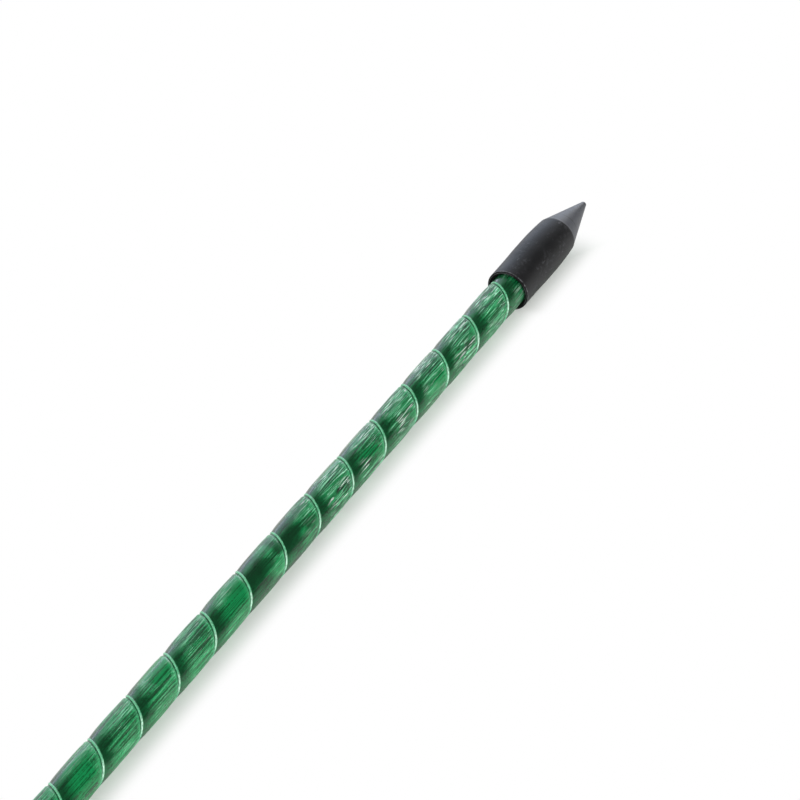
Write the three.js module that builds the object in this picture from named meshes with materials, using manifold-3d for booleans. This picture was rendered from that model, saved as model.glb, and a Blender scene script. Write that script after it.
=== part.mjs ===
// Fibreglass plant stake: a green resin rod with a thread wound along it, a black push-on ground
// point at one end and a black push-on cap at the other. Sizes are in millimetres and +Z is up.
// The stake lies on its two caps along X, with the point towards +X.

import * as THREE from 'three';
import { mergeVertices } from 'three/addons/utils/BufferGeometryUtils.js';
import Module from 'manifold-3d';

// Rod, a cut length of wound stock
const ROD_LENGTH = 600;
const ROD_DIAMETER = 8;

// Winding, a left-handed helix pulled into the resin
const WINDING_PITCH = 14.18;
const THREAD_DIAMETER = 0.6;
const THREAD_STANDS_PROUD = 0.15;
const THREAD_SEAT_CLEARANCE = 0.12;

// Lands between the turns, barrel-shaped because the thread pinches the rod
const LAND_PINCH = 0.17;
const LAND_FULLNESS = 4;
const LAND_STATIONS = [0, 0.12, 0.5, 0.88];

// Where the thread crosses the upper front of the rod, next to the mouth of the point
const WINDING_MARK_DEGREES = 120;
const WINDING_MARK_TO_MOUTH = 5.1;

// Push-on sleeve, the same on both caps
const SOCKET_CLEARANCE = 0.2;
const SOCKET_END_GAP = 0.3;
const SOCKET_LEAD_IN = 0.2;
const SLEEVE_WALL = 1.1;
const MOUTH_WALL = 0.98;
const MOUTH_RIM_ROUND = 0.2;
const MOUTH_BAND_LENGTH = 6;

// Ground point
const POINT_SOCKET_DEPTH = 21.5;
const POINT_FLOOR = 2.7;
const POINT_FULL_BAND_LENGTH = 3;
const SLEEVE_TAPER_LENGTH = 9;
const SLEEVE_TAPER_DROP = 0.42;
const NOSE_LENGTH = 14.6;
const NOSE_STEP = 0.06;
const NOSE_STEP_FILLET = 0.5;
const TIP_RADIUS = 0.74;
const TIP_ROUND_LENGTH = 0.6;

// Top cap
const TOP_SOCKET_DEPTH = 17.5;
const TOP_FLOOR = 2.5;
const TOP_EDGE_ROUND = 1.1;
const TOP_FULL_BAND_LENGTH = 9;

// Facets
const STEPS_PER_TURN = 16;
const THREAD_SIDES = 5;
const CAP_SIDES = 20;
const CURVE_STEPS = 4;
const SPARE_TURNS = 2;

// Finishes
const ROD_GREEN = 0x1e8246;
const THREAD_GREEN = 0x82d2a5;
const CAP_BLACK = 0x26272b;
const ROD_ROUGHNESS = 0.35;
const THREAD_ROUGHNESS = 0.4;
const CAP_ROUGHNESS = 0.7;

const wasm = await Module();
wasm.setup();

// Sizes that follow from the driving ones
const rodRadius = ROD_DIAMETER / 2;
const threadRadius = THREAD_DIAMETER / 2;
const pinchedRadius = rodRadius - LAND_PINCH;
const crestRadius = pinchedRadius + THREAD_STANDS_PROUD;
const threadCentreRadius = crestRadius - threadRadius;
const leadAngle = Math.atan(WINDING_PITCH / (2 * Math.PI * threadCentreRadius));
const threadHalfWidth = threadRadius / Math.cos(leadAngle);
const slotHalfWidth = threadHalfWidth + THREAD_SEAT_CLEARANCE / Math.cos(leadAngle);
const slotFloorRadius = threadCentreRadius - threadRadius - THREAD_SEAT_CLEARANCE;

// The socket's flats, and not its corners, clear the lands and the crest of the thread
const facetHalfAngle = Math.PI / CAP_SIDES;
const widestRadius = Math.max(rodRadius, crestRadius);
const socketRadius = (widestRadius + SOCKET_CLEARANCE) / Math.cos(facetHalfAngle);
const sleeveRadius = socketRadius + SLEEVE_WALL;
const mouthRadius = socketRadius + MOUTH_WALL;
const axisHeight = sleeveRadius * Math.cos(facetHalfAngle);

// Places along the stake, from the rod's top end at x = 0
const pointMouthX = ROD_LENGTH + SOCKET_END_GAP - POINT_SOCKET_DEPTH;
const topMouthX = TOP_SOCKET_DEPTH - SOCKET_END_GAP;
const pointEndX = ROD_LENGTH + SOCKET_END_GAP + POINT_FLOOR + NOSE_LENGTH;
const topEndX = -SOCKET_END_GAP - TOP_FLOOR;
const windingMarkX = pointMouthX - WINDING_MARK_TO_MOUTH;

// The helix is worked out with spare turns past both ends of the rod and then cut to length
const stepLength = WINDING_PITCH / STEPS_PER_TURN;
const spareSteps = SPARE_TURNS * STEPS_PER_TURN;
const firstStep = Math.floor(-windingMarkX / stepLength) - spareSteps;
const lastStep = Math.ceil((ROD_LENGTH - windingMarkX) / stepLength) + spareSteps;
const stepCount = lastStep - firstStep;

/** The angle about X of a step of the helix: it falls as x grows, so the helix is left-handed. */
function stepAngle(step) {
  return THREE.MathUtils.degToRad(WINDING_MARK_DEGREES) - (2 * Math.PI * step) / STEPS_PER_TURN;
}

/** A point in the half-plane of a step, at a distance along X from the thread's centre and a radius. */
function helixPoint(step, along, radius) {
  const angle = stepAngle(step);
  const x = windingMarkX + step * stepLength + along;
  return new THREE.Vector3(x, radius * Math.cos(angle), radius * Math.sin(angle));
}

/** Points and triangles collected for a closed body. */
class Skin {
  constructor() {
    this.positions = [];
    this.triangles = [];
  }

  point(vector) {
    this.positions.push(vector.x, vector.y, vector.z);
    return this.positions.length / 3 - 1;
  }

  quad(a, b, c, d) {
    this.triangles.push(a, b, c, a, c, d);
  }

  fan(loop, apex) {
    const tip = this.point(apex);
    loop.forEach((corner, i) => this.triangles.push(corner, loop[(i + 1) % loop.length], tip));
  }

  geometry() {
    const made = new THREE.BufferGeometry();
    made.setAttribute('position', new THREE.Float32BufferAttribute(this.positions, 3));
    made.setIndex(this.triangles);
    return made;
  }
}

/** A closed geometry as a solid that can be cut. */
function solidOf(geometry) {
  const bare = geometry.clone();
  bare.deleteAttribute('normal');
  bare.deleteAttribute('uv');
  const merged = mergeVertices(bare);
  const vertProperties = new Float32Array(merged.attributes.position.array);
  const triVerts = new Uint32Array(merged.index.array);
  return new wasm.Manifold(new wasm.Mesh({ numProp: 3, vertProperties, triVerts }));
}

/** A solid back as a geometry. */
function geometryOf(solid) {
  const mesh = solid.getMesh();
  const made = new THREE.BufferGeometry();
  made.setAttribute('position', new THREE.BufferAttribute(new Float32Array(mesh.vertProperties), 3));
  made.setIndex(new THREE.BufferAttribute(new Uint32Array(mesh.triVerts), 1));
  return made;
}

/** Saws a helical body to the rod's length. */
function cutToLength(geometry) {
  const across = 2 * ROD_DIAMETER;
  const stock = new THREE.BoxGeometry(ROD_LENGTH, across, across);
  stock.translate(ROD_LENGTH / 2, 0, 0);
  return geometryOf(solidOf(geometry).intersect(solidOf(stock)));
}

/** The rod's outline over one pitch, as distances along X from the thread and radii. */
function rodProfile() {
  const slot = [
    [-slotHalfWidth, pinchedRadius],
    [-slotHalfWidth, slotFloorRadius],
    [slotHalfWidth, slotFloorRadius],
  ];
  const landLength = WINDING_PITCH - 2 * slotHalfWidth;
  const land = LAND_STATIONS.map((share) => [
    slotHalfWidth + share * landLength,
    rodRadius - LAND_PINCH * Math.abs(2 * share - 1) ** LAND_FULLNESS,
  ]);
  return [...slot, ...land];
}

/** The rod: its profile carried along the helix, with each land running to the next turn's slot. */
function rodGeometry() {
  const profile = rodProfile();
  const lastRow = profile.length - 1;
  const skin = new Skin();
  const rows = [];
  for (let i = 0; i <= stepCount; i += 1) {
    const step = firstStep + i;
    rows.push(profile.map(([along, radius]) => skin.point(helixPoint(step, along, radius))));
  }
  for (let i = 0; i < stepCount; i += 1) {
    for (let j = 0; j < lastRow; j += 1) {
      skin.quad(rows[i][j], rows[i][j + 1], rows[i + 1][j + 1], rows[i + 1][j]);
    }
    const turnOn = i + STEPS_PER_TURN;
    if (turnOn < stepCount) {
      skin.quad(rows[i][lastRow], rows[turnOn][0], rows[turnOn + 1][0], rows[i + 1][lastRow]);
    }
  }

  const firstLoop = [];
  for (let i = 0; i <= STEPS_PER_TURN; i += 1) {
    firstLoop.push(rows[i][0]);
  }
  firstLoop.push(...rows[0].slice(1).reverse());
  skin.fan(firstLoop, helixPoint(firstStep, WINDING_PITCH / 2, 0));

  const lastLoop = [...rows[stepCount]];
  for (let i = 1; i <= STEPS_PER_TURN; i += 1) {
    lastLoop.push(rows[stepCount - i][lastRow]);
  }
  skin.fan(lastLoop, helixPoint(lastStep, WINDING_PITCH / 2, 0));
  return cutToLength(skin.geometry());
}

/** The thread: one unbroken tube along the helix, with a corner of its section at the crest. */
function threadGeometry() {
  const skin = new Skin();
  const rings = [];
  for (let i = 0; i <= stepCount; i += 1) {
    const ring = [];
    for (let side = 0; side < THREAD_SIDES; side += 1) {
      const turn = (2 * Math.PI * side) / THREAD_SIDES;
      const along = threadHalfWidth * Math.sin(turn);
      const radius = threadCentreRadius + threadRadius * Math.cos(turn);
      ring.push(skin.point(helixPoint(firstStep + i, along, radius)));
    }
    rings.push(ring);
  }
  for (let i = 0; i < stepCount; i += 1) {
    for (let side = 0; side < THREAD_SIDES; side += 1) {
      const next = (side + 1) % THREAD_SIDES;
      skin.quad(rings[i][side], rings[i][next], rings[i + 1][next], rings[i + 1][side]);
    }
  }
  skin.fan([...rings[0]].reverse(), helixPoint(firstStep, 0, threadCentreRadius));
  skin.fan(rings[stepCount], helixPoint(lastStep, 0, threadCentreRadius));
  return cutToLength(skin.geometry());
}

/** The least gap between turns of the thread, measured on the points of its centre line. */
function windingLeastGap() {
  const centres = [];
  for (let step = firstStep; step <= lastStep; step += 1) {
    centres.push(helixPoint(step, 0, threadCentreRadius));
  }
  let least = Infinity;
  for (let i = 0; i < centres.length; i += 1) {
    for (let j = i + STEPS_PER_TURN / 2; j < centres.length; j += 1) {
      least = Math.min(least, centres[i].distanceTo(centres[j]));
    }
  }
  return least - THREAD_DIAMETER;
}

/** Socket and sleeve of a cap as radius and height, from the socket's floor to the full band's end. */
function sleevePath(socketDepth, bandStart, bandEnd) {
  const path = new THREE.Path();
  const flareMiddle = (MOUTH_BAND_LENGTH + bandStart) / 2;
  path.moveTo(0, socketDepth);
  path.lineTo(socketRadius, socketDepth);
  path.lineTo(socketRadius, SOCKET_LEAD_IN);
  path.lineTo(socketRadius + SOCKET_LEAD_IN, 0);
  path.lineTo(mouthRadius - MOUTH_RIM_ROUND, 0);
  path.quadraticCurveTo(mouthRadius, 0, mouthRadius, MOUTH_RIM_ROUND);
  path.lineTo(mouthRadius, MOUTH_BAND_LENGTH);
  path.bezierCurveTo(mouthRadius, flareMiddle, sleeveRadius, flareMiddle, sleeveRadius, bandStart);
  path.lineTo(sleeveRadius, bandEnd);
  return path;
}

/** A revolved body with a flat facet down. */
function revolved(path) {
  return new THREE.LatheGeometry(path.getPoints(CURVE_STEPS), CAP_SIDES, facetHalfAngle);
}

/** Ground point: sleeve that narrows to the mould line, and conical nose with a blunt tip. */
function groundPointGeometry() {
  const mouldLine = POINT_SOCKET_DEPTH + POINT_FLOOR;
  const end = mouldLine + NOSE_LENGTH;
  const bandEnd = mouldLine - SLEEVE_TAPER_LENGTH;
  const taperMiddle = (bandEnd + mouldLine) / 2;
  const taperEndRadius = sleeveRadius - SLEEVE_TAPER_DROP;
  const noseRadius = taperEndRadius - NOSE_STEP;
  const noseTaper = (noseRadius - TIP_RADIUS) / (NOSE_LENGTH - TIP_ROUND_LENGTH);
  const path = sleevePath(POINT_SOCKET_DEPTH, bandEnd - POINT_FULL_BAND_LENGTH, bandEnd);
  path.quadraticCurveTo(sleeveRadius, taperMiddle, taperEndRadius, mouldLine);
  path.quadraticCurveTo(
    noseRadius, mouldLine,
    noseRadius - noseTaper * NOSE_STEP_FILLET, mouldLine + NOSE_STEP_FILLET,
  );
  path.lineTo(TIP_RADIUS, end - TIP_ROUND_LENGTH);
  path.quadraticCurveTo(TIP_RADIUS, end, 0, end);
  return revolved(path).rotateZ(-Math.PI / 2).translate(pointMouthX, 0, 0);
}

/** Top cap: the same sleeve with a flat closed end and a rounded edge. */
function topCapGeometry() {
  const end = TOP_SOCKET_DEPTH + TOP_FLOOR;
  const bandEnd = end - TOP_EDGE_ROUND;
  const path = sleevePath(TOP_SOCKET_DEPTH, bandEnd - TOP_FULL_BAND_LENGTH, bandEnd);
  path.quadraticCurveTo(sleeveRadius, end, sleeveRadius - TOP_EDGE_ROUND, end);
  path.lineTo(0, end);
  return revolved(path).rotateZ(Math.PI / 2).translate(topMouthX, 0, 0);
}

/** A named sub-part with its finish. */
function subPart(name, geometry, color, roughness) {
  const material = new THREE.MeshStandardMaterial({ color, roughness, metalness: 0, flatShading: true });
  const mesh = new THREE.Mesh(geometry, material);
  mesh.name = name;
  return mesh;
}

console.log(`least gap of the winding to itself: ${windingLeastGap().toFixed(2)} mm`);

// The stake's middle is over the origin, and its caps rest at z = 0
const stake = new THREE.Group();
stake.position.set(-(pointEndX + topEndX) / 2, 0, axisHeight);
stake.add(subPart('rod', rodGeometry(), ROD_GREEN, ROD_ROUGHNESS));
stake.add(subPart('winding_thread', threadGeometry(), THREAD_GREEN, THREAD_ROUGHNESS));
stake.add(subPart('ground_point', groundPointGeometry(), CAP_BLACK, CAP_ROUGHNESS));
stake.add(subPart('top_cap', topCapGeometry(), CAP_BLACK, CAP_ROUGHNESS));

const plantStake = new THREE.Group();
plantStake.add(stake);

export default plantStake;
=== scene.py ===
"""Dresses a wound fibreglass plant stake: the green rod, its thread and two black push-on caps.

Lengths are in metres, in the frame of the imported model: +X runs along the stake towards the
ground point and +Z is up from the surface that the stake lies on. A span that fades something in
gives the value at which it starts and the value at which it is whole.
"""

import logging
import math
from abc import ABC, abstractmethod
from collections.abc import Mapping, Sequence
from dataclasses import dataclass
from enum import Enum
from typing import Any, ClassVar, Union

import bmesh
import bpy
import numpy as np
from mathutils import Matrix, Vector


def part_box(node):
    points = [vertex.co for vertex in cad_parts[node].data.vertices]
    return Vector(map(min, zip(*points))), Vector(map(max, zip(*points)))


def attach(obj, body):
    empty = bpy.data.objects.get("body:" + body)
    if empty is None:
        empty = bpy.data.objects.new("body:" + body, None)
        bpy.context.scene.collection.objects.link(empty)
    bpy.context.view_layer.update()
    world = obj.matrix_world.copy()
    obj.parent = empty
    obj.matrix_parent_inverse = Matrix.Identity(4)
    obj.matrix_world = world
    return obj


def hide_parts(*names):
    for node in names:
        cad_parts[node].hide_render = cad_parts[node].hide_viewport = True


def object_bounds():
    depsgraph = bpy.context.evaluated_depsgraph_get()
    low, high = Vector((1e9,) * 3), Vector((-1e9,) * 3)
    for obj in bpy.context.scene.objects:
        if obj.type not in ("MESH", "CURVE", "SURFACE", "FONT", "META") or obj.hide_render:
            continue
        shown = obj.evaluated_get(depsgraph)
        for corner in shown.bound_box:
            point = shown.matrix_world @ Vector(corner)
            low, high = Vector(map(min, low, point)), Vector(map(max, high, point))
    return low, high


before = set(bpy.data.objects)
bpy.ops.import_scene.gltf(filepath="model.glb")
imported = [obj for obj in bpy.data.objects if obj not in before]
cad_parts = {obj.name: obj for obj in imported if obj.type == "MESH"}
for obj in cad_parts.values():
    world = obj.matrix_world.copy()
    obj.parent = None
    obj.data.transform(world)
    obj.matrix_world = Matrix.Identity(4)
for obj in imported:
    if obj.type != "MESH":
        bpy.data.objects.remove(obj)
CAD_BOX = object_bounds()

LOG = logging.getLogger("plant_stake")
MM = 0.001
TURN = 2 * math.pi
QUARTER = TURN / 4

# The middle of noise and of random draws from 0 to 1
MIDDLE = 0.5
NOISE_ROUGHNESS = 0.5
WHITE = (1.0, 1.0, 1.0)

Colour = tuple[float, float, float]
Direction = tuple[float, float, float]
Span = tuple[float, float]
Feed = Union[float, Sequence[float], "Signal"]
Layer = tuple["Signal", Colour]


class Body(Enum):
    """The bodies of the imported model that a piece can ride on."""

    STAKE = "stake"
    POINT = "point"
    CAP = "cap"


class Slot(Enum):
    """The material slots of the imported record."""

    ROD = "rod_resin"
    THREAD = "winding_thread"
    POINT = "point_plastic"
    CAP = "cap_plastic"


@dataclass(frozen=True)
class Grain:
    """The size of a noise's grains along X and across, and how many finer layers it has."""

    length: float
    width: float
    detail: float = 0.0


class Signal:
    """A value on a shader link. Python's operators on it add Math nodes."""

    def __init__(self, sheet: "ShaderSheet", socket: bpy.types.NodeSocket) -> None:
        """Holds the sheet that the link lies on and the socket that it leaves."""
        self.sheet = sheet
        self.socket = socket

    def maths(self, operation: str, *values: Feed) -> "Signal":
        """Adds one Math node.

        Args:
            operation: The node's operation.
            values: The values of its sockets, in order.

        Returns:
            The node's result.
        """
        inputs = dict(enumerate(values))
        return self.sheet.value("ShaderNodeMath", {"operation": operation}, inputs)

    def __add__(self, other: Feed) -> "Signal":
        """self + other."""
        return self.maths("ADD", self, other)

    def __radd__(self, other: Feed) -> "Signal":
        """other + self."""
        return self.maths("ADD", other, self)

    def __sub__(self, other: Feed) -> "Signal":
        """self - other."""
        return self.maths("SUBTRACT", self, other)

    def __rsub__(self, other: Feed) -> "Signal":
        """other - self."""
        return self.maths("SUBTRACT", other, self)

    def __mul__(self, other: Feed) -> "Signal":
        """self * other."""
        return self.maths("MULTIPLY", self, other)

    def __rmul__(self, other: Feed) -> "Signal":
        """other * self."""
        return self.maths("MULTIPLY", other, self)

    def __truediv__(self, other: Feed) -> "Signal":
        """self / other."""
        return self.maths("DIVIDE", self, other)

    def __rtruediv__(self, other: Feed) -> "Signal":
        """other / self."""
        return self.maths("DIVIDE", other, self)

    def absolute(self) -> "Signal":
        """The value without its sign."""
        return self.maths("ABSOLUTE", self)

    def root(self) -> "Signal":
        """The square root of the value."""
        return self.maths("SQRT", self)

    def cosine(self) -> "Signal":
        """The cosine of the value."""
        return self.maths("COSINE", self)

    def fraction(self) -> "Signal":
        """The part of the value after its decimal point."""
        return self.maths("FRACT", self)

    def at_least(self, other: Feed) -> "Signal":
        """The greater of the value and another."""
        return self.maths("MAXIMUM", self, other)

    def rise(self, start: float, end: float) -> "Signal":
        """A smooth step.

        Args:
            start: The value at which the step leaves 0.
            end: The value at which the step reaches 1. It may be less than start.

        Returns:
            The step, from 0 to 1.
        """
        low, high = sorted((start, end))
        inputs = {"Value": self, "From Min": low, "From Max": high}
        step = self.sheet.value("ShaderNodeMapRange", {"interpolation_type": "SMOOTHSTEP"}, inputs)
        return step if start < end else 1 - step


class ShaderSheet:
    """The nodes of one material or world."""

    def __init__(self, tree: bpy.types.NodeTree) -> None:
        """Empties a node tree to fill it."""
        self.tree = tree
        self.tree.nodes.clear()

    @staticmethod
    def socket(sockets: Sequence[bpy.types.NodeSocket], key: Union[int, str]) -> bpy.types.NodeSocket:
        """Finds a socket by its place or by the name that it shows.

        Args:
            sockets: A node's inputs or outputs.
            key: The place or the name.

        Returns:
            The socket.
        """
        if isinstance(key, int):
            return sockets[key]
        return next(s for s in sockets if s.enabled and s.name == key)

    def node(
        self,
        kind: str,
        settings: Mapping[str, Any] | None = None,
        inputs: Mapping[Union[int, str], Feed] | None = None,
    ) -> bpy.types.Node:
        """Adds a node.

        Args:
            kind: The node's type.
            settings: Its properties, which are set first.
            inputs: The values or links of its sockets.

        Returns:
            The node.
        """
        made = self.tree.nodes.new(kind)
        for name, value in (settings or {}).items():
            setattr(made, name, value)
        for key, value in (inputs or {}).items():
            socket = self.socket(made.inputs, key)
            if isinstance(value, Signal):
                self.tree.links.new(value.socket, socket)
            else:
                socket.default_value = value
        return made

    def value(
        self,
        kind: str,
        settings: Mapping[str, Any] | None = None,
        inputs: Mapping[Union[int, str], Feed] | None = None,
        output: Union[int, str] = 0,
    ) -> Signal:
        """Adds a node and returns the signal of one of its outputs."""
        made = self.node(kind, settings, inputs)
        return Signal(self, self.socket(made.outputs, output))

    def place(self) -> Signal:
        """The place on a piece at which its finish is read."""
        return self.value("ShaderNodeTexCoord", output="Object")

    def parts(self, vector: Signal) -> tuple[Signal, ...]:
        """A vector's x, y and z."""
        split = self.node("ShaderNodeSeparateXYZ", {}, {"Vector": vector})
        return tuple(Signal(self, socket) for socket in split.outputs)

    def mixed(self, share: Feed, first: Feed, second: Feed) -> Signal:
        """Mixes two colours.

        Args:
            share: How much of the second colour shows.
            first: The colour at a share of 0.
            second: The colour at a share of 1.

        Returns:
            The mixed colour.
        """
        inputs = {"Factor": share, "A": opaque(first), "B": opaque(second)}
        return self.value("ShaderNodeMix", {"data_type": "RGBA"}, inputs, "Result")

    def layered(self, ground: Feed, layers: Sequence[Layer]) -> Feed:
        """Lays colours over one another.

        Args:
            ground: The colour underneath.
            layers: How much of each colour shows, and the colour, from the lowest layer up.

        Returns:
            The colour that shows.
        """
        colour = ground
        for share, paint in layers:
            colour = self.mixed(share, colour, paint)
        return colour

    def streaks(self, place: Signal, grain: Grain) -> Signal:
        """Noise drawn out along X.

        Args:
            place: Where on the piece it is read.
            grain: The size of its grains.

        Returns:
            The noise, from 0 to 1 and mostly near its middle.
        """
        factors = (1 / grain.length, 1 / grain.width, 1 / grain.width)
        grid = self.value("ShaderNodeVectorMath", {"operation": "MULTIPLY"}, {0: place, 1: factors})
        inputs = {
            "Vector": grid,
            "Scale": 1.0,
            "Detail": grain.detail,
            "Roughness": NOISE_ROUGHNESS,
        }
        return self.value("ShaderNodeTexNoise", {"noise_dimensions": "3D"}, inputs)

    def hairlines(self, place: Signal, grain: Grain, fade: Span) -> Signal:
        """Thin lines drawn out along X, where noise crosses its middle.

        Args:
            place: Where on the piece they are read.
            grain: How far a line runs before it bends, and about how far apart the lines lie.
            fade: How far from its middle the noise is where a line ends and where it is whole.

        Returns:
            The lines, 1 in their middle and 0 between them.
        """
        return (self.streaks(place, grain) - MIDDLE).absolute().rise(*fade)

    def bumped(self, height: Signal, depth: float) -> Signal:
        """A normal bent by a height from 0 to 1 that stands for a depth in metres."""
        return self.value("ShaderNodeBump", {}, {"Strength": 1.0, "Distance": depth, "Height": height})

    def finish(self, shader: bpy.types.Node, kind: str = "ShaderNodeOutputMaterial") -> None:
        """Links a shader to the output."""
        self.node(kind, {}, {"Surface": Signal(self, shader.outputs[0])})

    def plastic(self, colour: Feed, roughness: Signal, normal: Signal, gloss: float) -> None:
        """Ends a finish in one Principled shader.

        Args:
            colour: Its colour.
            roughness: Its roughness.
            normal: Its bent normal.
            gloss: The level of its reflections.
        """
        inputs = {
            "Base Color": colour,
            "Roughness": roughness,
            "Normal": normal,
            "Specular IOR Level": gloss,
        }
        self.finish(self.node("ShaderNodeBsdfPrincipled", {}, inputs))


def opaque(colour: Feed) -> Feed:
    """A colour with full alpha, or a link as it is."""
    return colour if isinstance(colour, Signal) else (*colour, 1.0)


def new_material(name: str) -> tuple[bpy.types.Material, ShaderSheet]:
    """An empty node material and its sheet.

    Args:
        name: The material's name.

    Returns:
        The material and its sheet.
    """
    material = bpy.data.materials.new(name)
    material.use_nodes = True
    return material, ShaderSheet(material.node_tree)


def twin_strip(angle: Signal, side: float, fade: Span) -> Signal:
    """A strip along the rod and its twin on the other side.

    Args:
        angle: The angle about the axis.
        side: The angle of the strip's middle.
        fade: The cosines of twice the angles from the middle at which it starts and is whole.

    Returns:
        The strip, from 0 to 1.
    """
    return (2 * (angle - side)).cosine().rise(*fade)


@dataclass(frozen=True)
class WoundAxis:
    """The rod's axis and the left-handed helix that the thread follows round it."""

    height: float
    pitch: float
    mark_x: float
    mark_angle: float

    def angle_at(self, turns: np.ndarray) -> np.ndarray:
        """The helix's angle about the axis, so many turns on from the mark."""
        return self.mark_angle - TURN * turns

    def place(self, x: np.ndarray, angle: np.ndarray, radius: np.ndarray) -> np.ndarray:
        """Points in the model's frame.

        Args:
            x: Places along the stake.
            angle: Angles about the axis, from +Y towards +Z.
            radius: Distances from the axis.

        Returns:
            The points, with x, y and z last.
        """
        return np.stack([x, radius * np.cos(angle), self.height + radius * np.sin(angle)], axis=-1)

    def surface(self, sheet: ShaderSheet, place: Signal) -> tuple[Signal, Signal, Signal]:
        """Where on the wound surface a point lies.

        Args:
            sheet: The sheet of the finish that asks.
            place: The point.

        Returns:
            Its place along the stake, its angle about the axis, and how far it lies past the
            thread towards the ground point.
        """
        x, y, z = sheet.parts(place)
        angle = x.maths("ARCTAN2", z - self.height, y)
        turns = (x - self.mark_x) / self.pitch + (angle - self.mark_angle) / TURN
        return x, angle, turns.fraction() * self.pitch


@dataclass(frozen=True)
class StakeFrame:
    """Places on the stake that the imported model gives, and where the thread's helix lies on it."""

    rod_start: float
    rod_end: float
    point_mouth: float
    cap_mouth: float
    axis_height: float
    pitch: float = 14.18 * MM
    mark_before_mouth: float = 5.1 * MM
    mark_angle: float = math.radians(120)

    @classmethod
    def measured(cls) -> "StakeFrame":
        """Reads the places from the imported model's nodes.

        Returns:
            The places.
        """
        rod_low, rod_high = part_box("rod")
        point_low, point_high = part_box("ground_point")
        _, cap_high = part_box("top_cap")
        return cls(
            rod_start=rod_low.x,
            rod_end=rod_high.x,
            point_mouth=point_low.x,
            cap_mouth=cap_high.x,
            axis_height=(point_low.z + point_high.z) / 2,
        )

    def axis(self) -> WoundAxis:
        """The axis and its helix, which crosses the rod's upper front just before the point's mouth."""
        return WoundAxis(
            height=self.axis_height,
            pitch=self.pitch,
            mark_x=self.point_mouth - self.mark_before_mouth,
            mark_angle=self.mark_angle,
        )


def eased(share: np.ndarray) -> np.ndarray:
    """A share from 0 to 1 with flat ends."""
    return share * share * (3 - 2 * share)


@dataclass(frozen=True)
class FibreRelief:
    """Bundles of fibre that stand up along the rod, as a seeded height over angle and length."""

    seed: int
    bundles: int
    length: float
    height: float

    def at(self, x: np.ndarray, angle: np.ndarray) -> np.ndarray:
        """Heights, about 0 on average.

        Args:
            x: Places along the rod.
            angle: Angles about the axis.

        Returns:
            The height at each place.
        """
        down = (x - x.min()) / self.length
        round_rod = (angle / TURN % 1.0) * self.bundles
        rows = int(down.max()) + 2
        lattice = np.random.default_rng(self.seed).random((rows, self.bundles)) - MIDDLE
        row = np.floor(down).astype(int)
        column = np.floor(round_rod).astype(int) % self.bundles
        beside = (column + 1) % self.bundles
        along = eased(down - row)
        across = eased(round_rod - np.floor(round_rod))
        near = lattice[row, column] * (1 - across) + lattice[row, beside] * across
        far = lattice[row + 1, column] * (1 - across) + lattice[row + 1, beside] * across
        return self.height * (near * (1 - along) + far * along)


def ring_walls(number: np.ndarray) -> list[list[int]]:
    """The faces between neighbouring rings of points.

    Args:
        number: The points' numbers, a ring to a row.

    Returns:
        The faces, as rows of point numbers.
    """
    beside = np.roll(number, -1, axis=1)
    corners = [number[:-1], beside[:-1], beside[1:], number[1:]]
    return np.stack(corners, axis=-1).reshape(-1, len(corners)).tolist()


def mesh_object(
    name: str, points: np.ndarray, faces: Sequence[Sequence[int]], material: bpy.types.Material
) -> bpy.types.Object:
    """A smooth-shaded mesh object.

    Args:
        name: The piece's name.
        points: Its points, with x, y and z last.
        faces: Its faces, as rows of point numbers.
        material: Its finish.

    Returns:
        The object, linked to the scene.
    """
    mesh = bpy.data.meshes.new(name)
    mesh.from_pydata(points.reshape(-1, 3).tolist(), [], [list(map(int, face)) for face in faces])
    mesh.materials.append(material)
    mesh.shade_smooth()
    made = bpy.data.objects.new(name, mesh)
    bpy.context.scene.collection.objects.link(made)
    return made


def fit_to_frame(piece: bpy.types.Object, body: Body, node: str) -> bpy.types.Object:
    """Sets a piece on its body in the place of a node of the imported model.

    Args:
        piece: The piece, already in place.
        body: What it moves with.
        node: The node that it stands for.

    Returns:
        The piece.
    """
    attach(piece, body.value)
    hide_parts(node)
    return piece


@dataclass(frozen=True)
class ResinNoises:
    """The noises that the rod's finish is drawn with."""

    fibre: Signal
    strand: Signal
    hair: Signal
    dash: Signal
    ridge: Signal
    grain: Signal
    band: Signal
    cluster: Signal
    patch: Signal


@dataclass(frozen=True)
class ResinZones:
    """Where on the rod its effects show, each from 0 to 1."""

    scuffed: Signal
    streaked: Signal
    # Ridges drawn with painted sheen and shade
    ridged: Signal
    # Where painted glints show
    glinting: Signal
    # The sides painted lighter, as painted light
    pale: Signal
    seam: Signal
    # Dark resin patches, and a painted shadow before the point's mouth
    dark_patch_and_shade: Signal
    # A painted highlight on the end of each land, before the next turn
    lit_land_edge: Signal
    # Dark resin after the thread, partly painted shade
    pool: Signal
    # Painted shade in the crease before the thread
    crease: Signal


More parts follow.
